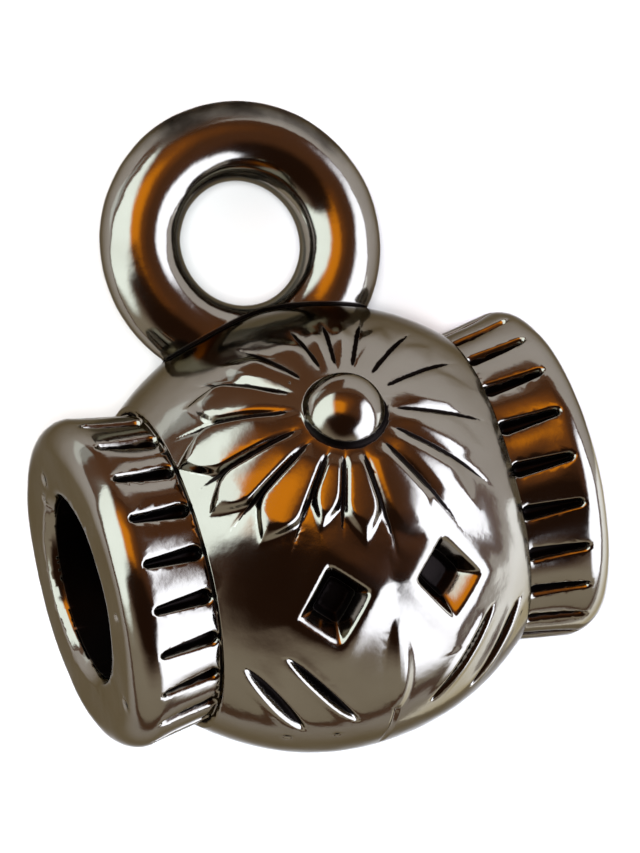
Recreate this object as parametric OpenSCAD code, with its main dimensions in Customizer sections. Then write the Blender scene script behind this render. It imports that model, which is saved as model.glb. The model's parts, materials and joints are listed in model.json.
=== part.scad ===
// Barrel bail: a fluted bead on a cord, cast in one piece with a loop for a pendant's jump ring.
// It is drawn in its own axes first: X along the bore, Z up through the loop, front towards -Y.
// Then it is laid down as it rests by itself: on its back knob, the loop and one rim.

/* [Barrel] */
// Length over both end faces
barrel_l = 11.2; // [9:0.1:14]
// Radius of the belly at its middle
belly_r = 4.9; // [4.6:0.01:5.4]
// Radius of the arc that the belly's outline follows
belly_arc_r = 5.55; // [5.4:0.05:6]
// Radius of a collar at its neck, a small step below the end of the belly
neck_r = 3.43; // [3.2:0.01:3.5]
// Distance of the neck from the middle
neck_x = 3.57; // [3.4:0.01:3.6]
// Radius of a collar at its rim
collar_r = 3.67; // [3.5:0.01:3.8]
// Radius of the rounded rim
edge_r = 0.6; // [0.4:0.05:0.9]

/* [Bore] */
// Radius of the hole along the barrel
bore_r = 2.03; // [1.5:0.01:2.4]
// Width of the bevel at each end of the bore
bore_bevel = 0.15; // [0.05:0.05:0.3]

/* [Loop] */
// Radius of the loop, to the middle of its wire
loop_r = 2.27; // [2.1:0.01:2.5]
// Radius of the wire
wire_r = 0.89; // [0.7:0.01:1]
// Height of the loop's middle above the bore's axis
loop_z = 6.5; // [6.4:0.05:6.8]
// Radius of the hole through the loop
loop_hole_r = 1.4; // [1.2:0.01:1.6]

/* [Flower] */
// Angle of the flower's middle above the bore's axis
flower_angle = 25.8; // [20:0.2:30]
// Angles of the grooves between the petals, clockwise from the top
groove_at = [-4, 12, 29, 50, 71, 100, 125, 148, 177, 200, 219, 243, 263, 287, 310, 332]; // [-10:1:350]
// Height of the petals above the belly
petal_h = 0.2; // [0.1:0.01:0.3]
// Distance from the flower's middle to the inner end of a petal
petal_start = 1.05; // [1:0.05:1.3]
// Width of the groove between two petals
petal_gap = 0.13; // [0.08:0.01:0.2]
// Distance of each petal's tip from the middle, in the same order
petal_reach = [
    2.75, 2.85, 3.1, 3.3, 3.4, 3.3, 3.5, 3.3, 2.9, 2.7, 3.2, 3.5, 3.5, 3.4, 3.1, 2.8
]; // [2.5:0.05:3.6]

/* [Knob] */
// Radius of the knob's ball
knob_r = 0.97; // [0.8:0.01:1]
// Height of the knob's top above the belly
knob_h = 0.7; // [0.5:0.01:0.8]

/* [Diamonds] */
// Distance of a diamond's middle from the middle of the barrel
diamond_x = 1.26; // [1.2:0.01:1.4]
// Angle of the diamonds' middle below the bore's axis
diamond_angle = 23.6; // [20:0.2:27]
// Half width and half height of the recess
diamond_half = [0.75, 0.94]; // [0.6:0.01:1.1]
// Half width and half height of the raised frame round it
frame_half = [1.18, 1.6]; // [1:0.01:1.8]
// Height of the frame above the belly
frame_h = 0.24; // [0.1:0.01:0.3]
// Depth of the recess below the belly
diamond_depth = 0.95; // [0.6:0.05:1.2]

/* [Slanted grooves] */
// Each groove as [inner end x, inner end angle, outer end x, outer end angle, width]
slants = [[0.85, 64, 2.35, 38, 0.3], [1.95, 69, 3.15, 44, 0.4]]; // [0.2:0.05:90]
// Depth of the slanted grooves at their middle
slant_depth = 0.32; // [0.2:0.01:0.4]
// Angles between which the fine line runs down the middle of the belly
seam_from = 34; // [30:1:45]
seam_to = 84; // [60:1:86]
// Radius of the fine line
seam_r = 0.09; // [0.05:0.01:0.12]

/* [Flutes] */
// Number of flutes round each collar
flute_count = 22; // [18:1:24]
// Radius of a flute's round cut
flute_r = 0.22; // [0.15:0.01:0.24]
// Height of the cut's axis above the collar's surface
flute_lift = 0.04; // [0.02:0.01:0.08]
// Length of a flute from the crease
flute_l = 1.3; // [1:0.05:1.4]

/* [Hidden] */
$fn = 96;
fine_fn = 180;
small_fn = 24;
flute_fn = 32;
cut = 0.5;
edge_x = barrel_l / 2 - edge_r;
edge_ring_r = collar_r - edge_r;
flare = atan((collar_r - neck_r) / (edge_x - neck_x));
knob_at = belly_r + knob_h - knob_r;
petal_count = len(groove_at);

// The middle of the interval in which f changes its sign, halved again and again
function root(f, low, high, steps = 40) =
    let (middle = (low + high) / 2)
    steps == 0 ? middle :
    f(low) * f(middle) > 0 ? root(f, middle, high, steps - 1) : root(f, low, middle, steps - 1);

// How far the back knob, the loop and a rim each reach down, when the loop droops and one end tips
function knob_reach(droop, tip) = knob_r + knob_at * cos(tip) * cos(droop - flower_angle);
function loop_reach(droop, tip) =
    wire_r + loop_z * cos(tip) * sin(droop) + loop_r * norm([sin(tip), cos(tip) * sin(droop)]);
function rim_reach(tip) = edge_r + edge_x * sin(tip) + edge_ring_r * cos(tip);
function droop_at(tip) =
    root(function (droop) knob_reach(droop, tip) - loop_reach(droop, tip), 0, 60);

// The bail rests where all three reach equally far
tip = root(function (tip) knob_reach(droop_at(tip), tip) - rim_reach(tip), 5, 45);
droop = droop_at(tip);

// Carries children from their own place at the origin, facing +Z, to the surface at x and angle
module on_belly(x, angle) {
    translate([x, 0, 0]) rotate([90 - angle, 0, 0]) children();
}

// Solid of the belly alone, grown outwards by a margin
module belly(margin = 0) {
    rotate([0, 90, 0]) rotate_extrude() intersection() {
        translate([belly_r - belly_arc_r, 0]) circle(belly_arc_r + margin);
        translate([0, -neck_x]) square([belly_r + margin, 2 * neck_x]);
    }
}

// Half the outline of one end: its collar and rounded rim
module collar_profile() {
    polygon([
        [0, 0],
        [neck_r, 0],
        [neck_r, neck_x],
        [collar_r, edge_x],
        [edge_ring_r, barrel_l / 2],
        [0, barrel_l / 2],
    ]);
    translate([edge_ring_r, edge_x]) circle(edge_r);
}

module barrel() {
    belly();
    for (side = [0, 1])
        mirror([side, 0, 0]) rotate([0, 90, 0]) rotate_extrude() collar_profile();
}

// The hole along the barrel, with a bevel at each end
module bore() {
    rotate([0, 90, 0]) cylinder(r = bore_r, h = barrel_l + 2 * cut, center = true);
    for (side = [0, 1])
        mirror([side, 0, 0]) translate([barrel_l / 2 - bore_bevel, 0, 0]) rotate([0, 90, 0])
            cylinder(r1 = bore_r, r2 = bore_r + 2 * bore_bevel, h = 2 * bore_bevel);
}

module loop() {
    translate([0, 0, loop_z]) rotate([90, 0, 0]) difference() {
        rotate_extrude() translate([loop_r, 0]) circle(wire_r);
        cylinder(r = loop_hole_r, h = 3 * wire_r, center = true);
    }
}

// Outline of one petal along +X: a wedge that widens outwards and ends in a round tip
module petal_outline(reach, half_angle) {
    tip_at = (reach + petal_gap / 2) / (1 + sin(half_angle));
    tip_r = reach - tip_at;
    start_half_w = petal_start * tan(half_angle) - petal_gap / (2 * cos(half_angle));
    end_x = tip_at - tip_r * sin(half_angle);
    end_half_w = tip_r * cos(half_angle);
    polygon([
        [petal_start, -start_half_w],
        [end_x, -end_half_w],
        [end_x, end_half_w],
        [petal_start, start_half_w],
    ]);
    translate([tip_at, 0]) circle(tip_r);
}

module flower() {
    intersection() {
        belly(petal_h);
        rotate([90 - flower_angle, 0, 0]) linear_extrude(belly_r + 2 * petal_h)
            for (i = [0 : petal_count - 1]) {
                from = groove_at[i];
                to = i + 1 < petal_count ? groove_at[i + 1] : groove_at[0] + 360;
                rotate(90 - (from + to) / 2) petal_outline(petal_reach[i], (to - from) / 2);
            }
    }
}

module knob() {
    rotate([90 - flower_angle, 0, 0]) translate([0, 0, knob_at]) sphere(knob_r);
}

// A diamond given by its half width and half height
module diamond(half) {
    polygon([[half.x, 0], [0, half.y], [-half.x, 0], [0, -half.y]]);
}

module diamond_frames() {
    intersection() {
        belly(frame_h);
        for (side = [-1, 1])
            on_belly(side * diamond_x, -diamond_angle)
                linear_extrude(belly_r + 2 * frame_h) diamond(frame_half);
    }
}

module diamond_recesses() {
    for (side = [-1, 1])
        on_belly(side * diamond_x, -diamond_angle) translate([0, 0, belly_r - diamond_depth])
            linear_extrude(belly_r) diamond(diamond_half);
}

// Pointed groove between two places on the belly, as wide as given at its middle
module slant(x1, angle1, x2, angle2, width) {
    middle_x = (x1 + x2) / 2;
    middle_angle = (angle1 + angle2) / 2;
    surface_r = belly_r - belly_arc_r + sqrt(belly_arc_r ^ 2 - middle_x ^ 2);
    rise = surface_r * (angle1 - angle2) * PI / 180;
    half_l = norm([x2 - x1, rise]) / 2;
    arc_r = (half_l ^ 2 + (width / 2) ^ 2) / width;
    on_belly(middle_x, -middle_angle) translate([0, 0, surface_r - slant_depth])
        linear_extrude(belly_r) rotate(atan2(rise, x2 - x1)) intersection_for (way = [-1, 1])
            translate([0, way * (arc_r - width / 2)]) circle(arc_r, $fn = fine_fn);
}

module slanted_grooves() {
    for (row = slants, side = [0, 1])
        mirror([side, 0, 0]) slant(row[0], row[1], row[2], row[3], row[4]);
}

// The fine line round the middle of the belly, below the diamonds
module seam() {
    rotate([0, 90, 0]) rotate([0, 0, 90 - seam_to]) rotate_extrude(angle = seam_to - seam_from)
        translate([belly_r, 0]) circle(seam_r, $fn = small_fn);
}

module flutes() {
    for (i = [0 : flute_count - 1], side = [0, 1])
        mirror([side, 0, 0]) rotate([i * 360 / flute_count, 0, 0])
            translate([neck_x, -neck_r - flute_lift, 0]) rotate([0, 0, -flare]) rotate([0, 90, 0]) {
                cylinder(r = flute_r, h = flute_l, $fn = flute_fn);
                sphere(flute_r, $fn = flute_fn);
                translate([0, 0, flute_l]) sphere(flute_r, $fn = flute_fn);
            }
}

// The raised ornament of one face, and what is sunk into it
module raised() {
    flower();
    knob();
    diamond_frames();
}

module sunk() {
    diamond_recesses();
    slanted_grooves();
    seam();
}

// The whole casting in its own axes, the same front and back
module casting() {
    difference() {
        union() {
            barrel();
            loop();
            for (face = [0, 1])
                mirror([0, face, 0]) raised();
        }
        for (face = [0, 1])
            mirror([0, face, 0]) sunk();
        flutes();
        bore();
    }
}

module bail() {
    color("dimgray") rotate([-90 - droop, tip, 0]) casting();
}

bail();
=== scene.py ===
import json
import math

import bpy
import numpy as np
from mathutils import Matrix, Vector


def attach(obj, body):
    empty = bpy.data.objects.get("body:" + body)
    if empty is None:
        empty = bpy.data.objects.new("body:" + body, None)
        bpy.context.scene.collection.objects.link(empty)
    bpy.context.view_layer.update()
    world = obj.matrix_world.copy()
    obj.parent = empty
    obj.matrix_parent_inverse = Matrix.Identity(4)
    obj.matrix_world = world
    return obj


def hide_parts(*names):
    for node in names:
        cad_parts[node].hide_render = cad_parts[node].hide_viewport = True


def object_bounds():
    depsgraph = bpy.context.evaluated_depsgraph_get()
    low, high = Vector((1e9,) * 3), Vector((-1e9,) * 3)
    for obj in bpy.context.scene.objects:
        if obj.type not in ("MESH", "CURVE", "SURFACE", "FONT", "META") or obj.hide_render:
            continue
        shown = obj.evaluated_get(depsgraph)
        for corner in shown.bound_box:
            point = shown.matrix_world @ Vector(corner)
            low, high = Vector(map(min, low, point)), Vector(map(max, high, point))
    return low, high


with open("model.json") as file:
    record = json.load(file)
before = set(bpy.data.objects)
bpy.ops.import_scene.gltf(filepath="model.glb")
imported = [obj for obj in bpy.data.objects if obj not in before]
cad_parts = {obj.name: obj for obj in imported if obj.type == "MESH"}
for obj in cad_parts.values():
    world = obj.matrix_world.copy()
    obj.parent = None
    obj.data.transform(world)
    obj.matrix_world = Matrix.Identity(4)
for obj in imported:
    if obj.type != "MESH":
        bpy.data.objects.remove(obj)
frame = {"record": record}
cad_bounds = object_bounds()

# The bail is worked out in millimetres in its own axes, as in the CAD source: X along the bore,
# Z up through the loop, front towards -Y. The mounts say how it lies in the frame.
MM = 0.001
MOUNTS = {mount["name"]: mount for mount in frame["record"]["mounts"]}
BORE_R = MOUNTS["bore"]["dims"]["r_mm"]
LOOP_CENTRE = Vector(MOUNTS["loop"]["pos_m"])
TO_WORLD = Matrix((
    Vector(MOUNTS["bore"]["axis"]),
    -Vector(MOUNTS["loop"]["axis"]),
    LOOP_CENTRE.normalized(),
)).transposed()

# Barrel
BARREL_L = 11.2
BELLY_R = 4.9
BELLY_ARC_R = 5.55
NECK_R = 3.43
NECK_X = 3.57
COLLAR_R = 3.67
EDGE_R = 0.6
BORE_BEVEL = 0.15
HALF_L = BARREL_L / 2
EDGE_X = HALF_L - EDGE_R
# The belly and the collars lie outside this radius, and the bore lies within it
OUTSIDE_R = BORE_R + 0.6

# Loop, and the fillet where it meets the belly
LOOP_R = 2.27
WIRE_R = 0.89
LOOP_Z = LOOP_CENTRE.length / MM
FILLET = 0.1

# Flower: the angles of its grooves, clockwise from the top, and the reach of the petal after each
FLOWER_ANGLE = math.radians(25.8)
GROOVE_AT = np.radians([-4, 12, 29, 50, 71, 100, 125, 148, 177, 200, 219, 243, 263, 287, 310, 332])
PETAL_REACH = np.array([2.9, 2.9, 3.1, 3.3, 3.4, 3.3, 3.5, 3.3, 2.9, 2.7, 3.3, 3.5, 3.6, 3.4, 3.1, 2.9])
# Width and depth of a groove, and the length over which it runs out
GROOVE_W = 0.11
GROOVE_DEPTH = 0.07
GROOVE_FADE = 0.7
# Petals: where they start, their height, and how much lower their sides are as a share of it
PETAL_START = 1.0
PETAL_H = 0.1
PETAL_CROWN = 0.35
# Lengths over which a petal rises from its sides, from its inner end and from its tip
PETAL_SIDE = 0.3
PETAL_RISE = 0.35
PETAL_POINT = 0.9
# How far past the tip the two sides meet, and how much sooner the petal falls beside its middle
PETAL_MEET = 0.15
PETAL_ROUNDING = 0.5
# How far outside its edges a petal's height starts
PETAL_MARGIN = 0.1
# The petals towards this side are cupped, from none to fully between two cosines of the angle to it.
# Their height grows by this much over this length, and at most by this many times as much.
CUPPED_AT = math.radians(245)
CUPPED_COSINES = (-0.2, 0.9)
CUPPED_H = 0.15
CUPPED_L = 1.6
CUPPED_END = 1.1
# How much less crowned the cupped petals are, and how much shorter their sides and points are
CUPPED_CROWN = 0.25
CUPPED_SIDE = 0.16
CUPPED_POINT = 0.45
# The upper grooves start this much further out, and the upper petals rise over this much more
UPPER_START = 0.15
UPPER_RISE = 1.1

# Knob
KNOB_R = 0.9
KNOB_H = 0.7

# Diamonds: their place, and how far they lean
DIAMOND_X = 1.3
DIAMOND_ANGLE = math.radians(-23.6)
DIAMOND_SKEW = 0.22
# A recess: half width and half height, depth, width of its wall and how far outside that starts
DIAMOND_HALF = (0.75, 0.9)
DIAMOND_DEPTH = 0.6
DIAMOND_WALL = 0.32
DIAMOND_LIP = 0.06
# Softness of a recess's corners and of its edge
DIAMOND_CORNER = 0.06
DIAMOND_ROUNDING = 0.1
# The raised frame round it: width of the flat part, width of its fall, and height
FRAME_CREST = 0.1
FRAME_WIDTH = 0.45
FRAME_H = 0.09

# The ornament of a face lies where the cosine of the angle from its flower is above this
FACE_COSINE = 0.3
# Softness with which petals, frames and knob run into each other
BLEND = 0.06

# Slanted grooves: inner end, outer end (x in mm, angle in degrees below the bore's axis), width
SLANTS = (
    ((0.85, 64), (2.4, 38), 0.24),
    ((1.95, 69), (3.2, 43), 0.32),
)
SLANT_DEPTH = 0.26
# Power by which the depth falls towards the ends. Lower is blunter.
SLANT_POWER = 0.7
# Smallest square of a groove's share of its width, which keeps its tips from being divided by 0
SLANT_TIP = 0.0001
# Where the groove's side starts and ends, in half widths from its middle line
SLANT_SIDE = (1.25, 0.2)
# The swelling beside a groove: height, and its place and width in widths of the groove
SWELL_H = 0.03
SWELL_AT = 0.75
SWELL_W = 0.4

# The line down the middle of the belly. Its ends are this soft, in radians.
SEAM_FROM = math.radians(-33)
SEAM_TO = math.radians(-84)
SEAM_FADE = 0.06
SEAM_W = 0.07
SEAM_DEPTH = 0.07
# The swelling in it, shaped like a spindle: place, half length, height and half width
SPINDLE_AT = math.radians(-46)
SPINDLE_HALF = math.radians(16)
SPINDLE_H = 0.11
SPINDLE_W = 0.38
# Its ends are this share as wide. It is flat up to this share of its half width. The line is gone
# where it has reached this share of its height.
SPINDLE_END = 0.3
SPINDLE_CREST = 0.15
SPINDLE_CLEAR = 0.2

# Flutes: half width at the bottom and at the shoulders, how much they narrow outwards, and depth
FLUTE_COUNT = 22
FLUTE_BOTTOM = 0.05
FLUTE_SHOULDER = 0.22
FLUTE_TAPER = 0.45
FLUTE_DEPTH = 0.24
FLUTE_START_X = NECK_X + 0.2
FLUTE_END_X = 5.0
# How much lower a bar between two flutes is at its sides, and the length over which this fades
BAR_CROWN = 0.035
BAR_FADE = 0.7
BAR_END_X = FLUTE_END_X + 0.1

# Small stained pits on the end face and the belly: x, y, z and size. Their bottoms are flat up to
# this share of it.
PITS = (
    (-5.6, 0.34, 2.52, 0.2),
    (-5.6, 0.8, 2.12, 0.16),
    (-5.6, -1.39, -2.71, 0.2),
    (-5.6, -2.6, -0.9, 0.12),
    (-2.2, -1.15, -4.25, 0.14),
    (-1.2, -1.5, -4.45, 0.13),
)
PIT_DEPTH = 0.05
PIT_FLAT = 0.2

# The cast surface is slightly uneven: height, wavelength and seed of each layer of waves
BARREL_WAVES = ((0.006, 2.2, 11), (0.0015, 0.6, 12))
LOOP_WAVES = ((0.007, 2.6, 21), (0.0015, 0.7, 22))
# Each wave's length is the layer's, times something between these
WAVE_SPREAD = (0.7, 1.4)

# Grid steps along the profile in mm, round it in steps per flute, and round and across the loop
FINE = 0.036
COARSE = 0.06
STEPS_PER_FLUTE = 38
LOOP_STEPS = ((320, 112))
BEVEL_STEPS = 3
# The bore's grid is coarser past this depth
BORE_MOUTH_L = 1.2
BORE_STEP = 0.5
# Keeps the row at the belly's end out of the belly's ornament
ROW_MARGIN = 0.01
MAX_TRIANGLES = 192000


def smooth_max(a, b, softness):
    return 0.5 * (a + b + np.sqrt((a - b) ** 2 + softness ** 2))


def smooth_min(a, b, softness):
    return -smooth_max(-a, -b, softness)


def smooth_step(low, high, value):
    t = np.clip((value - low) / (high - low), 0, 1)
    return t * t * (3 - 2 * t)


def bell(value):
    return np.exp(-value ** 2)


def waves(points, wavelength, seed, count=14):
    """A smooth random field of about unit size, made of a few sine waves in random directions."""
    draw = np.random.default_rng(seed)
    total = np.zeros(len(points))
    for _ in range(count):
        direction = draw.normal(size=3)
        direction /= np.linalg.norm(direction)
        turns = 2 * math.pi / (wavelength * draw.uniform(*WAVE_SPREAD))
        total += np.sin(points @ direction * turns + draw.uniform(0, 2 * math.pi))
    return total / math.sqrt(count / 2)


def unevenness(points, layers):
    return sum(height * waves(points, wavelength, seed) for height, wavelength, seed in layers)


def belly_radius(x):
    return BELLY_R - BELLY_ARC_R + math.sqrt(BELLY_ARC_R ** 2 - x ** 2)


def collar_radius(x):
    return NECK_R + (COLLAR_R - NECK_R) * (np.abs(x) - NECK_X) / (EDGE_X - NECK_X)


def petal_relief(a, b):
    """Height of the petals above the belly, at a across and b up from the flower's middle, and how far
    each point lies in a groove, from 0 to 1."""
    out = np.hypot(a, b)
    turn = (np.arctan2(a, b) - GROOVE_AT[0]) % (2 * math.pi) + GROOVE_AT[0]
    index = np.searchsorted(GROOVE_AT, turn, side="right") - 1
    ends = np.append(GROOVE_AT, GROOVE_AT[0] + 2 * math.pi)
    middle = (ends[index] + ends[index + 1]) / 2
    half_angle = (ends[index + 1] - ends[index]) / 2
    off = np.abs(turn - middle)
    share = off / half_angle
    reach = PETAL_REACH[index]
    to_groove = out * np.sin(half_angle - off)
    half_w = out * np.sin(half_angle)

    # The side of a petal nears its middle line over the last stretch, so that it ends in a point
    taper = smooth_step(reach - PETAL_POINT, reach + PETAL_MEET, out)
    to_edge = to_groove - taper * half_w
    cupped = smooth_step(*CUPPED_COSINES, np.cos(middle - CUPPED_AT))
    upper = (1 + np.cos(middle)) / 2

    rise = PETAL_H + CUPPED_H * cupped * np.clip((out - PETAL_START) / CUPPED_L, 0, CUPPED_END)
    crown = 1 - (PETAL_CROWN - CUPPED_CROWN * cupped) * share ** 2
    side = smooth_step(-PETAL_MARGIN, PETAL_SIDE - CUPPED_SIDE * cupped, to_edge)
    point = smooth_step(reach + PETAL_MARGIN, reach - PETAL_POINT + CUPPED_POINT * cupped,
                        out + PETAL_ROUNDING * share * half_w)
    root = smooth_step(PETAL_START - PETAL_MARGIN, PETAL_START + PETAL_RISE + UPPER_RISE * upper, out)
    pillow = rise * crown * point * side * root

    start = smooth_step(PETAL_START - PETAL_MARGIN, PETAL_START + PETAL_RISE, out - UPPER_START * upper)
    end = smooth_step(reach + PETAL_MARGIN, reach - GROOVE_FADE, out)
    groove = bell(to_groove / (GROOVE_W / 2)) * end
    return pillow - GROOVE_DEPTH * groove * start, groove * start


def knob_relief(points, normals):
    """Distance along each normal to the knob's ball, or well below the surface where it misses."""
    knob_at = BELLY_R + KNOB_H - KNOB_R
    centre = knob_at * np.array([0, -math.cos(FLOWER_ANGLE), math.sin(FLOWER_ANGLE)])
    folded = points.copy()
    folded_normals = normals.copy()
    back = points[:, 1] > 0
    folded[back, 1] *= -1
    folded_normals[back, 1] *= -1
    to_point = folded - centre
    along = np.einsum("ij,ij->i", to_point, folded_normals)
    room = along ** 2 - np.einsum("ij,ij->i", to_point, to_point) + KNOB_R ** 2
    return np.where(room > 0, -along + np.sqrt(np.maximum(room, 0)), -1)


def diamond_inside(a, b):
    """Distance inside the edge of a diamond, with slightly rounded corners."""
    half_w, half_h = DIAMOND_HALF
    across = np.sqrt(a ** 2 + DIAMOND_CORNER ** 2) / half_w
    up = np.sqrt(b ** 2 + DIAMOND_CORNER ** 2) / half_h
    return (1 - across - up) * half_w * half_h / math.hypot(half_w, half_h)


def diamond_places(x, angle, radius):
    """Distances across and up from the middle of the nearer diamond, which leans inwards."""
    a = np.abs(x) - DIAMOND_X
    return a, radius * np.sin(angle - DIAMOND_ANGLE) + DIAMOND_SKEW * a


def slant_relief(x, angle):
    """Height of the belly where the slanted grooves are, with a low swelling beside each one."""
    total = np.zeros_like(x)
    for inner, outer, width in SLANTS:
        radius = belly_radius((inner[0] + outer[0]) / 2)
        start = np.array([inner[0], -math.radians(inner[1]) * radius])
        end = np.array([outer[0], -math.radians(outer[1]) * radius])
        half_l = np.linalg.norm(end - start) / 2
        way = (end - start) / (2 * half_l)
        offset = np.stack([np.abs(x), angle * radius], -1) - (start + end) / 2
        along = offset @ way / half_l
        side = np.abs(offset @ np.array([-way[1], way[0]]))
        span = (1 - along ** 2).clip(0)
        half_w = width / 2 * np.sqrt(np.maximum(span, SLANT_TIP))
        total -= SLANT_DEPTH * span ** SLANT_POWER * smooth_step(*SLANT_SIDE, side / half_w)
        total += SWELL_H * span * bell((side - width * SWELL_AT) / (width * SWELL_W))
    return total


def seam_relief(x, angle):
    """Height of the spindle-shaped swelling in the seam, less the depth of its line."""
    spindle = (1 - ((angle - SPINDLE_AT) / SPINDLE_HALF) ** 2).clip(0)
    half_w = SPINDLE_W * (SPINDLE_END + (1 - SPINDLE_END) * spindle)
    ridge = SPINDLE_H * spindle * smooth_step(1, SPINDLE_CREST, np.abs(x) / half_w)
    span = smooth_step(SEAM_FROM + SEAM_FADE, SEAM_FROM - SEAM_FADE, angle)
    span = span * smooth_step(SEAM_TO - SEAM_FADE / 2, SEAM_TO + SEAM_FADE, angle)
    line = SEAM_DEPTH * bell(x / (SEAM_W / 2)) * span * smooth_step(SPINDLE_CLEAR, 0, spindle)
    return ridge - line


def belly_relief(points, normals):
    """Height of all the ornament above the plain belly."""
    x = points[:, 0]
    radius = np.hypot(points[:, 1], points[:, 2])
    angle = np.arctan2(points[:, 2], np.abs(points[:, 1]))
    petals, _ = petal_relief(x, radius * np.sin(angle - FLOWER_ANGLE))
    near = np.cos(angle - FLOWER_ANGLE) > FACE_COSINE
    inside = diamond_inside(*diamond_places(x, angle, radius))
    outside = (-inside - FRAME_CREST) / FRAME_WIDTH
    frame_rise = FRAME_H * bell(np.maximum(outside, 0))
    height = smooth_max(np.where(near, petals, 0), np.where(near, frame_rise, 0), BLEND) - BLEND / 2
    height = height + slant_relief(x, angle) + seam_relief(x, angle)
    height = smooth_max(height, knob_relief(points, normals), BLEND)
    wall = np.clip((inside + DIAMOND_LIP) / DIAMOND_WALL, -1, 1)
    pit = FRAME_H - (FRAME_H + DIAMOND_DEPTH) * wall
    return smooth_min(height, pit, DIAMOND_ROUNDING)


def flute_depth(points):
    """How deep the flutes cut towards the axis. Each one starts in the end of the belly."""
    x = np.abs(points[:, 0])
    radius = np.hypot(points[:, 1], points[:, 2])
    step = 2 * math.pi / FLUTE_COUNT
    angle = np.arctan2(points[:, 2], -points[:, 1])
    off = (angle + step / 2) % step - step / 2
    side = np.abs(radius * np.sin(off))
    share = np.clip((x - NECK_X) / (FLUTE_END_X - NECK_X), 0, 1)
    shoulder = FLUTE_SHOULDER * (1 - FLUTE_TAPER * share)
    beyond = np.maximum(x - FLUTE_END_X + shoulder, 0) + np.maximum(FLUTE_START_X - x, 0)
    cut = FLUTE_DEPTH * smooth_step(shoulder, FLUTE_BOTTOM * (1 - share), np.hypot(beyond, side))
    along = smooth_step(NECK_X, FLUTE_START_X, x) * smooth_step(BAR_END_X, FLUTE_END_X - BAR_FADE, x)
    return cut + BAR_CROWN * along * (1 + np.cos(FLUTE_COUNT * off)) / 2


def fillet_rise(distance):
    """How far a surface swells at a distance outside another one."""
    return np.clip(FILLET - np.maximum(distance, 0), 0, None) ** 2 / (4 * FILLET)


def pit_share(points):
    """1 in the middle of a pit, falling to 0 at its edge."""
    share = np.zeros(len(points))
    for x, y, z, size in PITS:
        away = np.linalg.norm(points - np.array([x, y, z]), axis=1)
        share = np.maximum(share, smooth_step(size, PIT_FLAT * size, away))
    return share


def loop_distance(points):
    """Signed distance to the loop's wire."""
    out = np.hypot(points[:, 0], points[:, 2] - LOOP_Z) - LOOP_R
    return np.hypot(out, points[:, 1]) - WIRE_R


def barrel_distance(points):
    """Distance above the plain belly's surface, measured across its profile."""
    radius = np.hypot(points[:, 1], points[:, 2])
    return np.hypot(radius - (BELLY_R - BELLY_ARC_R), points[:, 0]) - BELLY_ARC_R


def places_between(start, end, step):
    """Places from the start to just before the end, about a step apart."""
    count = max(2, round(math.dist(start, end) / step))
    return [(start[0] + (end[0] - start[0]) * i / count, start[1] + (end[1] - start[1]) * i / count)
            for i in range(count)]


def profile():
    """The closed outline that turns into the barrel: rows of radius and x."""
    edge_ring_r = COLLAR_R - EDGE_R
    flare = math.atan((COLLAR_R - NECK_R) / (EDGE_X - NECK_X))
    arc_count = round(EDGE_R * (math.pi / 2 + flare) / COARSE)
    arc = [(edge_ring_r + EDGE_R * math.cos(t), EDGE_X + EDGE_R * math.sin(t))
           for t in np.linspace(-flare / 2, math.pi / 2, arc_count + 1)[:-1]]
    belly_turn = math.asin(NECK_X / BELLY_ARC_R)
    belly_count = round(BELLY_ARC_R * belly_turn / FINE)
    belly = [(BELLY_R - BELLY_ARC_R + BELLY_ARC_R * math.cos(t), BELLY_ARC_R * math.sin(t))
             for t in np.linspace(0, belly_turn, belly_count + 1)]
    neck = (NECK_R, NECK_X)
    bevel_outer = (BORE_R + BORE_BEVEL, HALF_L)
    bevel_inner = (BORE_R, HALF_L - BORE_BEVEL)
    mouth = (BORE_R, HALF_L - BORE_MOUTH_L)
    middle = (BORE_R, 0)
    right = belly[:-1]
    right = right + places_between(belly[-1], neck, FINE)
    right = right + places_between(neck, arc[0], FINE)
    right = right + arc
    right = right + places_between((edge_ring_r, HALF_L), bevel_outer, COARSE)
    right = right + places_between(bevel_outer, bevel_inner, BORE_BEVEL / BEVEL_STEPS)
    right = right + places_between(bevel_inner, mouth, COARSE)
    right = right + places_between(mouth, middle, BORE_STEP)
    left = [(r, -x) for r, x in reversed(right[1:])]
    return np.array(right + [middle] + left)


def barrel_points():
    """The barrel's surface with its ornament, as a grid of rows round its axis."""
    outline = profile()
    before = np.roll(outline, 1, axis=0)
    after = np.roll(outline, -1, axis=0)
    tangent = after - before
    tangent /= np.linalg.norm(tangent, axis=1)[:, None]
    rows = len(outline)
    columns = FLUTE_COUNT * STEPS_PER_FLUTE
    angle = np.arange(columns) * 2 * math.pi / columns
    ring = np.stack([np.zeros(columns), -np.cos(angle), np.sin(angle)], -1)
    axis = np.array([1.0, 0, 0])
    points = outline[:, 0, None, None] * ring[None] + outline[:, 1, None, None] * axis
    normals = tangent[:, 1, None, None] * ring[None] - tangent[:, 0, None, None] * axis
    radial = np.broadcast_to(ring[None], (rows, columns, 3)).reshape(-1, 3)
    points = points.reshape(-1, 3)
    normals = normals.reshape(-1, 3)

    x = np.abs(points[:, 0])
    outer = np.hypot(points[:, 1], points[:, 2]) > OUTSIDE_R
    on_belly = outer & (x < NECK_X - ROW_MARGIN)
    fluted = outer & (x > FLUTE_START_X - FLUTE_SHOULDER) & (x < BAR_END_X)
    height = np.zeros(len(points))
    height[on_belly] = belly_relief(points[on_belly], normals[on_belly])
    height[on_belly] += fillet_rise(loop_distance(points[on_belly]))
    height += unevenness(points, BARREL_WAVES)
    height -= PIT_DEPTH * pit_share(points)
    inwards = np.zeros(len(points))
    inwards[fluted] = flute_depth(points[fluted])
    return points + normals * height[:, None] - radial * inwards[:, None], rows, columns


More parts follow.
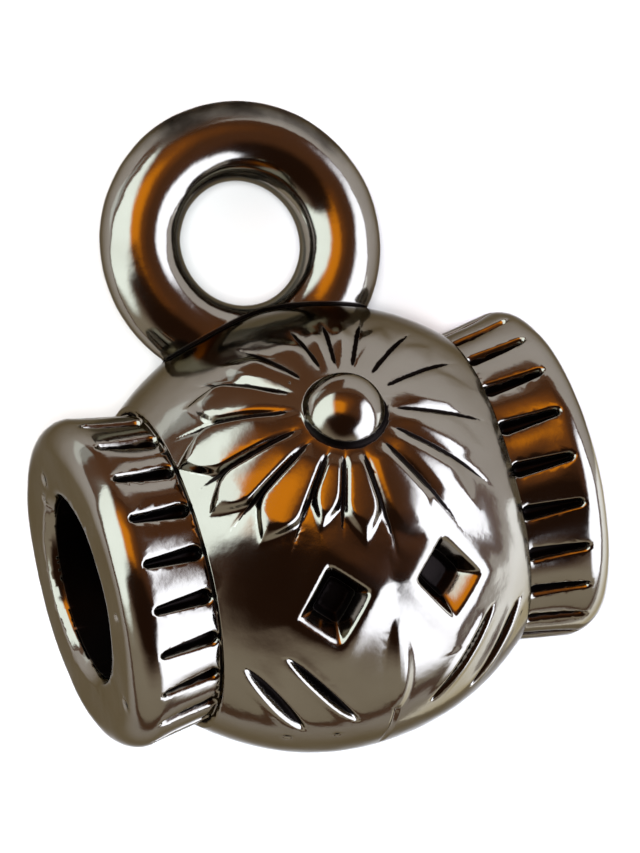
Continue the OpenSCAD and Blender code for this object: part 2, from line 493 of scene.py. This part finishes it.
def loop_points():
    """The loop's surface, as a grid of rows round the loop."""
    rows, columns = LOOP_STEPS
    around = np.arange(rows) * 2 * math.pi / rows
    across = np.arange(columns) * 2 * math.pi / columns
    out = np.stack([np.sin(around), np.zeros(rows), np.cos(around)], -1)
    normals = (np.cos(across)[None, :, None] * out[:, None, :]
               + np.sin(across)[None, :, None] * np.array([0, 1.0, 0]))
    points = LOOP_R * out[:, None, :] + WIRE_R * normals
    points = points.reshape(-1, 3) + np.array([0, 0, LOOP_Z])
    normals = normals.reshape(-1, 3)
    height = fillet_rise(barrel_distance(points)) + unevenness(points, LOOP_WAVES)
    return points + normals * height[:, None], rows, columns


def grid_faces(rows, columns):
    """Quads of a grid that closes both ways."""
    row = np.arange(rows)[:, None]
    column = np.arange(columns)[None, :]
    next_row = (row + 1) % rows
    next_column = (column + 1) % columns
    corners = (row * columns + column, row * columns + next_column,
               next_row * columns + next_column, next_row * columns + column)
    return np.stack([np.broadcast_to(c, (rows, columns)) for c in corners], -1).reshape(-1, 4)


def grid_object(name, points, rows, columns):
    faces = grid_faces(rows, columns)
    mesh = bpy.data.meshes.new(name)
    mesh.vertices.add(len(points))
    mesh.vertices.foreach_set("co", points.astype(np.float32).ravel())
    mesh.loops.add(faces.size)
    mesh.loops.foreach_set("vertex_index", faces.astype(np.int32).ravel())
    mesh.polygons.add(len(faces))
    mesh.polygons.foreach_set("loop_start", np.arange(0, faces.size, 4, dtype=np.int32))
    mesh.update(calc_edges=True)
    mesh.validate()
    piece = bpy.data.objects.new(name, mesh)
    bpy.context.scene.collection.objects.link(piece)
    return piece


def apply_modifiers(piece):
    bpy.context.view_layer.update()
    evaluated = piece.evaluated_get(bpy.context.evaluated_depsgraph_get())
    mesh = bpy.data.meshes.new_from_object(evaluated)
    piece.modifiers.clear()
    old = piece.data
    piece.data = mesh
    bpy.data.meshes.remove(old)


def build_casting():
    """Barrel and loop joined into one mesh, in the bail's own axes and in millimetres."""
    casting = grid_object("bail_casting", *barrel_points())
    loop = grid_object("loop_blank", *loop_points())
    union = casting.modifiers.new("union", "BOOLEAN")
    union.operation = "UNION"
    union.solver = "MANIFOLD"
    union.object = loop
    apply_modifiers(casting)
    bpy.data.objects.remove(loop)
    triangles = sum(len(p.vertices) - 2 for p in casting.data.polygons)
    print("casting triangles before thinning", triangles)
    if triangles > MAX_TRIANGLES:
        thin = casting.modifiers.new("thin", "DECIMATE")
        thin.ratio = MAX_TRIANGLES / triangles
        apply_modifiers(casting)
    return casting


# Patina, painted shade and wear
# Each pair says where something starts and where it is full.

# The flower's grooves, in shares of a groove's depth, out to this distance from its middle
GROOVE_STAIN = (0.15, 0.75)
FLOWER_R = 3.6
# Heights above the plain belly, in a diamond out to this far beyond its edge, and in other recesses
DIAMOND_STAIN = (-0.25, -0.5)
DIAMOND_MARGIN = 0.1
RECESS_STAIN = (-0.05, -0.13)
# Depths below the collar's surface, and the stretch of the collar that is stained
FLUTE_STAIN = (0.06, 0.14)
STAINED_FROM_X = NECK_X - 0.02
STAINED_TO_X = FLUTE_END_X + 0.05
# Distances from the crease beside the belly and from the loop's foot, and how dark they get
CREASE_DARKENING = (0.08, 0.01)
CREASE_DARKNESS = 0.45
FOOT_DARKENING = (0.14, 0.02)
FOOT_DARKNESS = 0.9
PIT_DARKNESS = 0.75
# The crevice round the knob, darkened as painted shadow under the knob: width, and how far outside the
# knob it is darkest. It has this share of its darkness above the knob and all of it below, by the height
# over the middle in knob radii.
KNOB_CREVICE_W = 0.06
KNOB_CREVICE_OUT = 0.01
KNOB_SHADOW_TOP = 0.2
KNOB_SHADOW_BELOW = (0.4, -0.5)
# The painted dark reflection on the outside of the loop, strongest on its top: darkness, angle of its
# middle and distances from there in radians, and heights outwards from the wire's middle in wire radii
LOOP_REFLECTION_DARKNESS = 0.55
LOOP_REFLECTION_AT = 0.25
LOOP_REFLECTION_SPREAD = (1.5, 0.6)
LOOP_REFLECTION_OUTWARDS = (0.05, 0.6)
# What is nearer to the plain wire than this belongs to the loop
ON_LOOP = 0.1
# Curvature in 1/mm of rubbed edges. Edges of the mesh count as no shorter than this, in mm.
WEAR_BEND = (2.2, 7)
SHORTEST_EDGE = 0.01


def knob_crevice_and_shadow(x, b):
    # Painted shadow: a dark ring in the crevice round the knob, full below it and faint above it
    crevice = bell((np.hypot(x, b) - KNOB_R - KNOB_CREVICE_OUT) / KNOB_CREVICE_W)
    below = smooth_step(*KNOB_SHADOW_BELOW, b / KNOB_R)
    return crevice * (KNOB_SHADOW_TOP + (1 - KNOB_SHADOW_TOP) * below)


def belly_patina_and_shadow(x, angle, radius, above):
    """Patina in the flower's grooves, the diamonds and the other recesses of the belly, and painted
    shadow under the knob.
    """
    b = radius * np.sin(angle - FLOWER_ANGLE)
    flower = (np.hypot(x, b) < FLOWER_R) & (np.cos(angle - FLOWER_ANGLE) > FACE_COSINE)
    _, groove = petal_relief(x, b)
    # Patina in the grooves, and the painted shadow in the crevice under the knob
    petals = smooth_step(*GROOVE_STAIN, np.maximum(groove, knob_crevice_and_shadow(x, b)))
    in_diamond = diamond_inside(*diamond_places(x, angle, radius)) > -DIAMOND_MARGIN
    sunk = np.where(in_diamond, smooth_step(*DIAMOND_STAIN, above), smooth_step(*RECESS_STAIN, above))
    return np.maximum(np.where(flower, petals, 0), sunk)


def loop_painted_reflection(points):
    """A painted dark reflection over the outside of the loop, strongest on its top."""
    out = np.hypot(points[:, 0], points[:, 2] - LOOP_Z)
    turn = np.arctan2(points[:, 0], points[:, 2] - LOOP_Z)
    side = smooth_step(*LOOP_REFLECTION_SPREAD, np.abs(turn - LOOP_REFLECTION_AT))
    outwards = smooth_step(*LOOP_REFLECTION_OUTWARDS, (out - LOOP_R) / WIRE_R)
    return np.where(np.abs(loop_distance(points)) < ON_LOOP, LOOP_REFLECTION_DARKNESS * side * outwards, 0)


def patina_and_shade_of(points):
    """How much black lies at each point, from 0 on bare metal to 1 deep in a recess: patina in the
    recesses, painted shadow under the knob, a painted dark reflection on the loop's top, and darkening
    towards the crease and the loop's foot.
    """
    x = points[:, 0]
    radius = np.hypot(points[:, 1], points[:, 2])
    angle = np.arctan2(points[:, 2], np.abs(points[:, 1]))
    above = barrel_distance(points)
    outer = radius > OUTSIDE_R
    on_belly = outer & (np.abs(x) < NECK_X)
    on_collar = outer & (np.abs(x) > STAINED_FROM_X) & (np.abs(x) < STAINED_TO_X)
    to_neck = np.hypot(np.abs(x) - NECK_X, radius - NECK_R)
    to_foot = np.hypot(np.maximum(above, 0), np.maximum(loop_distance(points), 0))
    return np.maximum.reduce((
        np.where(on_belly, belly_patina_and_shadow(x, angle, radius, above), 0),
        np.where(on_collar, smooth_step(*FLUTE_STAIN, collar_radius(x) - radius), 0),
        # Darker towards the crease beside the belly and towards the loop's foot
        CREASE_DARKNESS * smooth_step(*CREASE_DARKENING, to_neck),
        FOOT_DARKNESS * smooth_step(*FOOT_DARKENING, to_foot),
        PIT_DARKNESS * pit_share(points),
        # Painted dark reflection on the loop's top
        loop_painted_reflection(points),
    ))


def edge_wear(mesh, points):
    """How sharply each point stands out from its neighbours, from 0 on plain surfaces to 1 on edges."""
    ends = np.empty(len(mesh.edges) * 2, dtype=np.int32)
    mesh.edges.foreach_get("vertices", ends)
    ends = ends.reshape(-1, 2)
    normals = np.empty(len(points) * 3, dtype=np.float32)
    mesh.vertices.foreach_get("normal", normals)
    normals = normals.reshape(-1, 3)
    bend = np.zeros(len(points))
    count = np.zeros(len(points))
    for here, there in ((ends[:, 0], ends[:, 1]), (ends[:, 1], ends[:, 0])):
        step = points[there] - points[here]
        square = np.maximum(np.einsum("ij,ij->i", step, step), SHORTEST_EDGE ** 2)
        bend += np.bincount(here, -2 * np.einsum("ij,ij->i", step, normals[here]) / square, len(points))
        count += np.bincount(here, minlength=len(points))
    return smooth_step(*WEAR_BEND, bend / np.maximum(count, 1))


def store_values(mesh, name, values):
    attribute = mesh.attributes.new(name, "FLOAT", "POINT")
    attribute.data.foreach_set("value", values.astype(np.float32))


def finish_casting(casting):
    """Stores patina with painted shade, and wear, on the mesh and lays it down in the frame, in metres.
    """
    mesh = casting.data
    points = np.empty(len(mesh.vertices) * 3, dtype=np.float32)
    mesh.vertices.foreach_get("co", points)
    points = points.reshape(-1, 3).astype(float)
    store_values(mesh, "patina", patina_and_shade_of(points))
    store_values(mesh, "wear", edge_wear(mesh, points))
    laid_down = points @ np.array(TO_WORLD).T * MM
    mesh.vertices.foreach_set("co", laid_down.astype(np.float32).ravel())
    mesh.polygons.foreach_set("use_smooth", np.ones(len(mesh.polygons), dtype=bool))
    mesh.update()


class Nodes:
    """Adds nodes to a node tree and links them."""

    def __init__(self, tree):
        self.nodes = tree.nodes
        self.links = tree.links

    def feed(self, socket, value):
        """Links a socket to another one, or sets it to a number, vector or colour."""
        if isinstance(value, bpy.types.NodeSocket):
            self.links.new(value, socket)
        else:
            socket.default_value = value

    def math(self, operation, *values):
        node = self.nodes.new("ShaderNodeMath")
        node.operation = operation
        for socket, value in zip(node.inputs, values):
            self.feed(socket, value)
        return node.outputs[0]

    def vector_math(self, operation, output, *values):
        node = self.nodes.new("ShaderNodeVectorMath")
        node.operation = operation
        for socket, value in zip(node.inputs, values):
            self.feed(socket, value)
        return node.outputs[output]

    def remap(self, value, low, high, to_low=0, to_high=1, way="SMOOTHSTEP"):
        node = self.nodes.new("ShaderNodeMapRange")
        node.interpolation_type = way
        self.feed(node.inputs["Value"], value)
        node.inputs["From Min"].default_value = low
        node.inputs["From Max"].default_value = high
        node.inputs["To Min"].default_value = to_low
        node.inputs["To Max"].default_value = to_high
        return node.outputs["Result"]

    def mix(self, factor, below, above):
        node = self.nodes.new("ShaderNodeMix")
        node.data_type = "RGBA"
        self.feed(node.inputs["Factor"], factor)
        self.feed(node.inputs["A"], below)
        self.feed(node.inputs["B"], above)
        return node.outputs["Result"]

    def noise(self, place, scale, detail):
        node = self.nodes.new("ShaderNodeTexNoise")
        self.feed(node.inputs["Vector"], place)
        node.inputs["Scale"].default_value = scale
        node.inputs["Detail"].default_value = detail
        return node.outputs["Fac"]

    def stored(self, name):
        node = self.nodes.new("ShaderNodeAttribute")
        node.attribute_name = name
        return node.outputs["Fac"]


# Materials

SILVER_LIGHT = (0.19, 0.172, 0.145, 1)
SILVER_DARK = (0.15, 0.133, 0.108, 1)
SILVER_RUBBED = (0.25, 0.23, 0.2, 1)
SILVER_GRAZING = (0.32, 0.3, 0.27, 1)
SILVER_ROUGHNESS = 0.12
PATINA_AND_SHADE_BLACK = (0.006, 0.0045, 0.004, 1)
PATINA_AND_SHADE_ROUGHNESS = 0.5
# Blotches break up the edge of the patina and the painted shade by this much either way
BLOTCH_SCALE = 900
BLOTCH_DETAIL = 5
BLOTCH_REACH = 0.25
PATINA_AND_SHADE_EDGE = (0.3, 0.75)
GRAIN_SCALE = 5200
GRAIN_DETAIL = 4
GRAIN_STRENGTH = 0.12
GRAIN_HEIGHT = 0.00002
# The bore is painted black behind its bevel, as painted shade inside it: depths in bevels, and radii past
# the bore's own in mm
BORE_SHADE = (1, 2.2)
BORE_SHADE_PAST = (0.1, 0.06)

PAPER_COLOUR = (0.55, 0.55, 0.55, 1)
TABLE_COLOUR = (0.13, 0.06, 0.027, 1)
MATT_ROUGHNESS = 0.9
MATT_SPECULAR = 0.1


def new_material(name):
    material = bpy.data.materials.new(name)
    material.use_nodes = True
    return material, material.node_tree.nodes["Principled BSDF"]


def bore_painted_shade(tree, place):
    """Painted shade: 1 inside the bore behind its bevel and 0 elsewhere, as a function of place."""
    axis = TO_WORLD.col[0]
    along = tree.math("ABSOLUTE", tree.vector_math("DOT_PRODUCT", "Value", place, axis))
    starts, full = [(HALF_L - bevels * BORE_BEVEL) * MM for bevels in BORE_SHADE]
    deep = tree.remap(along, starts, full)
    across = tree.vector_math("CROSS_PRODUCT", "Vector", place, axis)
    radius = tree.vector_math("LENGTH", "Value", across)
    outside, inside = [(BORE_R + past) * MM for past in BORE_SHADE_PAST]
    return tree.math("MULTIPLY", deep, tree.remap(radius, outside, inside, way="LINEAR"))


def antique_silver():
    """Polished plating with black patina in the recesses, black painted shade under the knob, on the
    loop's top and in the bore, and lighter, rubbed edges.
    """
    material, shader = new_material("antique_silver")
    shader.inputs["Metallic"].default_value = 1.0
    shader.inputs["Specular Tint"].default_value = SILVER_GRAZING
    tree = Nodes(material.node_tree)
    place = tree.nodes.new("ShaderNodeTexCoord").outputs["Object"]

    blotches = tree.noise(place, BLOTCH_SCALE, BLOTCH_DETAIL)
    shift = tree.math("MULTIPLY_ADD", blotches, 2 * BLOTCH_REACH, -BLOTCH_REACH)
    # Patina with painted shade from the mesh, and painted shade inside the bore
    stain_and_shade = tree.math("MAXIMUM", tree.stored("patina"), bore_painted_shade(tree, place))
    cover = tree.remap(tree.math("ADD", stain_and_shade, shift), *PATINA_AND_SHADE_EDGE)

    metal = tree.mix(blotches, SILVER_LIGHT, SILVER_DARK)
    rubbed = tree.mix(tree.stored("wear"), metal, SILVER_RUBBED)
    # The black covers both the patina and the painted shade
    tree.feed(shader.inputs["Base Color"], tree.mix(cover, rubbed, PATINA_AND_SHADE_BLACK))
    roughness = tree.remap(cover, 0, 1, SILVER_ROUGHNESS, PATINA_AND_SHADE_ROUGHNESS, way="LINEAR")
    tree.feed(shader.inputs["Roughness"], roughness)

    bump = tree.nodes.new("ShaderNodeBump")
    bump.inputs["Strength"].default_value = GRAIN_STRENGTH
    bump.inputs["Distance"].default_value = GRAIN_HEIGHT
    tree.feed(bump.inputs["Height"], tree.noise(place, GRAIN_SCALE, GRAIN_DETAIL))
    tree.feed(shader.inputs["Normal"], bump.outputs["Normal"])
    return material


def matt_material(name, colour):
    material, shader = new_material(name)
    shader.inputs["Base Color"].default_value = colour
    shader.inputs["Roughness"].default_value = MATT_ROUGHNESS
    shader.inputs["Specular IOR Level"].default_value = MATT_SPECULAR
    return material


# Camera: its place round the bail, from the photograph

PHOTO_W = 640
PHOTO_H = 853
CAMERA_YAW = math.radians(-16.4)
CAMERA_PITCH = math.radians(-3.1)
CAMERA_ROLL = math.radians(-15.1)
CAMERA_DISTANCE = 169.5
PIXELS_PER_MM = 45.6
BORE_MIDDLE_PX = (317.2, 528.4)
SENSOR_MM = 36
CLIP_START = 0.005
CLIP_END = 10


def camera_axes():
    """Right, up and back of the camera, in the bail's own axes."""
    back = Vector((math.sin(CAMERA_YAW) * math.cos(CAMERA_PITCH),
                   -math.cos(CAMERA_YAW) * math.cos(CAMERA_PITCH),
                   math.sin(CAMERA_PITCH)))
    level = (-back).cross(Vector((0, 0, 1))).normalized()
    upright = level.cross(-back)
    right = math.cos(CAMERA_ROLL) * level + math.sin(CAMERA_ROLL) * upright
    up = -math.sin(CAMERA_ROLL) * level + math.cos(CAMERA_ROLL) * upright
    return right, up, back


RIGHT, UP, BACK = camera_axes()


def from_camera(right, up, back):
    """A direction given by how far it goes to the camera's right, up and back, in the frame."""
    return TO_WORLD @ (RIGHT * right + UP * up + BACK * back)


def beside_camera(place):
    """A matrix that puts something at a place and turns it the way the camera looks."""
    turn = Matrix([from_camera(1, 0, 0), from_camera(0, 1, 0), from_camera(0, 0, 1)]).transposed()
    return Matrix.Translation(place) @ turn.to_4x4()


def add_camera():
    data = bpy.data.cameras.new("camera")
    data.sensor_width = SENSOR_MM
    data.lens = PIXELS_PER_MM * CAMERA_DISTANCE / PHOTO_H * SENSOR_MM
    data.clip_start = CLIP_START
    data.clip_end = CLIP_END
    camera = bpy.data.objects.new("camera", data)
    aside = (BORE_MIDDLE_PX[0] - PHOTO_W / 2) / PIXELS_PER_MM
    below = (BORE_MIDDLE_PX[1] - PHOTO_H / 2) / PIXELS_PER_MM
    camera.matrix_world = beside_camera(from_camera(-aside, below, CAMERA_DISTANCE) * MM)
    bpy.context.scene.collection.objects.link(camera)
    bpy.context.scene.camera = camera


def level_axes():
    """The camera's right laid level, and the level direction away from the camera."""
    across = from_camera(1, 0, 0)
    right = Vector((across.x, across.y, 0)).normalized()
    return right, Vector((0, 0, 1)).cross(right)


LEVEL_RIGHT, LEVEL_AWAY = level_axes()


def on_floor(right, away, lift):
    """A place on the floor, from millimetres to the camera's right and away from it, and above it."""
    place = (LEVEL_RIGHT * right + LEVEL_AWAY * away) * MM
    place.z = cad_bounds[0][2] + lift * MM
    return place


# Light
# Azimuths are in degrees from the camera's right, counter-clockwise seen from above; elevations are
# above the floor. Colours are radiances, with 1 as bright as the white floor.

WALLS = (0.25, 0.09, 0.037, 1)
OVERHEAD = (0.06, 0.024, 0.011, 1)
# Elevations between which the walls turn into what is overhead
OVERHEAD_FROM = 35
OVERHEAD_FULL = 62

# Each patch of light in the room: azimuth, elevation, half width, half height, tilt, softness, colour
PATCHES = (
    ("pale_front", -112, -4, 72, 50, 0, 0.3, (0.95, 0.87, 0.72)),
    ("brown_wall", 80, 26, 58, 32, 0, 0.35, (0.3, 0.12, 0.05)),
    ("amber_skirt", 108, 32, 38, 22, -8, 0.5, (0.9, 0.29, 0.05)),
    ("amber_wall", 114, 38, 30, 16, -8, 0.35, (3.0, 1.0, 0.035)),
    ("window_left", 156, 8, 43, 38, -20, 0.16, (4.4, 5.2, 5.5)),
    ("window_right", -8, 14, 46, 30, -26, 0.16, (6.2, 6.9, 8.6)),
)

# Each panel lying outside the picture: x, y, width, depth in mm from the bail, colour
PANELS = (
    ("panel_left", -18, 14, 14, 12, (0.9, 1.2, 1.35)),
    ("panel_right", 22, -12, 28, 26, (3.0, 3.5, 4.2)),
)
PANEL_LIFT = 0.1

FILL_SIZE = 0.05
FILL_DISTANCE = 0.3
FILL_ENERGY = 1.3


def add_panels():
    facing_up = Matrix((LEVEL_RIGHT, -LEVEL_AWAY, Vector((0, 0, -1)))).transposed().to_4x4()
    for name, x, y, width, depth, colour in PANELS:
        data = bpy.data.lights.new(name, "AREA")
        data.shape = "RECTANGLE"
        data.size = width * MM
        data.size_y = depth * MM
        strength = max(colour)
        data.color = [c / strength for c in colour]
        data.energy = strength * math.pi * data.size * data.size_y
        panel = bpy.data.objects.new(name, data)
        panel.matrix_world = Matrix.Translation(on_floor(x, y, PANEL_LIFT)) @ facing_up
        panel.visible_camera = False
        bpy.context.scene.collection.objects.link(panel)


def add_fill():
    """Light from beside the camera, which whitens the paper and shows in no reflection."""
    data = bpy.data.lights.new("paper_fill", "AREA")
    data.shape = "DISK"
    data.size = FILL_SIZE
    data.energy = FILL_ENERGY
    fill = bpy.data.objects.new("paper_fill", data)
    fill.matrix_world = beside_camera(from_camera(0, 0, FILL_DISTANCE))
    fill.visible_glossy = False
    bpy.context.scene.collection.objects.link(fill)


class Room(Nodes):
    """The room round the bail, as a function of direction."""

    def __init__(self, tree):
        super().__init__(tree)
        self.direction = self.nodes.new("ShaderNodeTexCoord").outputs["Generated"]
        self.azimuth = self.math("ARCTAN2", self.along(LEVEL_AWAY), self.along(LEVEL_RIGHT))
        self.elevation = self.math("ARCSINE", self.along(Vector((0, 0, 1))))

    def along(self, axis):
        return self.vector_math("DOT_PRODUCT", "Value", self.direction, axis)

    def patch(self, azimuth, elevation, half_width, half_height, tilt, softness):
        """1 inside a rounded rectangle of directions, falling softly to 0 at its edge."""
        aside = self.math("WRAP", self.math("SUBTRACT", self.azimuth, math.radians(azimuth)),
                          math.pi, -math.pi)
        above = self.math("SUBTRACT", self.elevation, math.radians(elevation))
        cosine = math.cos(math.radians(tilt))
        sine = math.sin(math.radians(tilt))
        across = self.math("MULTIPLY_ADD", aside, cosine, self.math("MULTIPLY", above, sine))
        up = self.math("MULTIPLY_ADD", above, cosine, self.math("MULTIPLY", aside, -sine))
        across = self.math("DIVIDE", across, math.radians(half_width))
        up = self.math("DIVIDE", up, math.radians(half_height))
        fourth = self.math("ADD", self.math("POWER", self.math("ABSOLUTE", across), 4.0),
                           self.math("POWER", self.math("ABSOLUTE", up), 4.0))
        distance = self.math("POWER", fourth, 0.25)
        return self.remap(distance, 1 + softness, 1 - softness)


def add_world():
    world = bpy.data.worlds.new("studio")
    bpy.context.scene.world = world
    world.use_nodes = True
    room = Room(world.node_tree)
    overhead = room.remap(room.elevation, math.radians(OVERHEAD_FROM), math.radians(OVERHEAD_FULL))
    colour = room.mix(overhead, WALLS, OVERHEAD)
    for _, azimuth, elevation, half_width, half_height, tilt, softness, light in PATCHES:
        mask = room.patch(azimuth, elevation, half_width, half_height, tilt, softness)
        colour = room.mix(mask, colour, (*light, 1))
    room.feed(room.nodes["Background"].inputs["Color"], colour)


# Level sheets by their left, right, near and far edges as the camera sees them, in mm
PAPER = (-60, 60, -60, 13)
PAPER_BACK = (1, 60, 13, 40)
TABLE = (-900, 900, -900, 900)
TABLE_DROP = 0.1


def lay_sheet(name, edges, drop, material):
    """A level rectangle given by its left, right, near and far edges."""
    left, right, near, far = edges
    corners = [on_floor(x, y, -drop) for x, y in ((left, near), (right, near), (right, far), (left, far))]
    mesh = bpy.data.meshes.new(name)
    mesh.from_pydata(corners, [], [(0, 1, 2, 3)])
    sheet = bpy.data.objects.new(name, mesh)
    sheet.data.materials.append(material)
    bpy.context.scene.collection.objects.link(sheet)


add_camera()
casting = build_casting()
finish_casting(casting)
casting.data.materials.clear()
casting.data.materials.append(antique_silver())
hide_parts("bail")
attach(casting, "root")
lay_sheet("paper", PAPER, 0, matt_material("white_paper", PAPER_COLOUR))
lay_sheet("paper_back", PAPER_BACK, 0, matt_material("white_paper_back", PAPER_COLOUR))
lay_sheet("table", TABLE, TABLE_DROP, matt_material("brown_table", TABLE_COLOUR))
add_panels()
add_fill()
add_world()
bpy.context.scene.view_settings.view_transform = "Standard"
